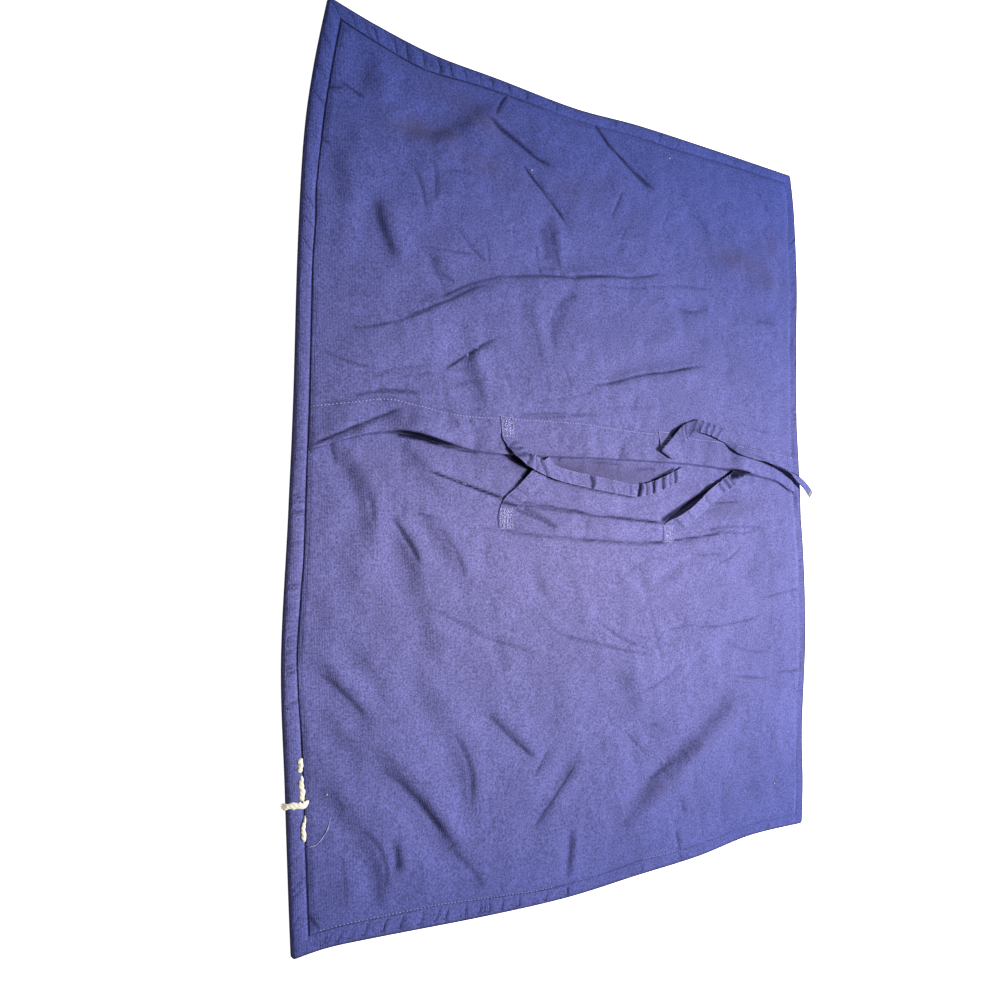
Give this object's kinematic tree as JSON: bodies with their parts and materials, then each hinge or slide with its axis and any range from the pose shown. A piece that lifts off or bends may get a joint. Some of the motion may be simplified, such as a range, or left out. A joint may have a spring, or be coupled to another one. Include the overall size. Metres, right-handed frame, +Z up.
{
  "type": "pillow sham",
  "caption": "Empty pillow sham lying face down: a hemmed upper back panel laps over the lower one, with a bound edge all round and open cloth ties on both panels.",
  "frame": {"origin": "near the middle of the sham's face, on the surface that it lies on", "axes": "+X across the sham, +Y along its length towards the hemmed upper panel, +Z up from the surface"},
  "size_m": [0.5236, 0.6765, 0.0189],
  "materials": {
    "panel_cotton": "plain woven periwinkle cotton, matt",
    "binding_cotton": "the same cotton folded over the edge, matt",
    "tie_cotton": "the same cotton doubled and edge stitched, matt"
  },
  "bodies": {
    "root": {"front_panel": "panel_cotton", "back_lower_panel": "panel_cotton", "back_upper_panel": "panel_cotton", "binding_left": "binding_cotton", "binding_right": "binding_cotton", "binding_top": "binding_cotton", "binding_bottom": "binding_cotton", "tie_upper_left": "tie_cotton", "tie_lower_left": "tie_cotton", "tie_upper_right": "tie_cotton", "tie_lower_right": "tie_cotton"}
  },
  "joints": []
}
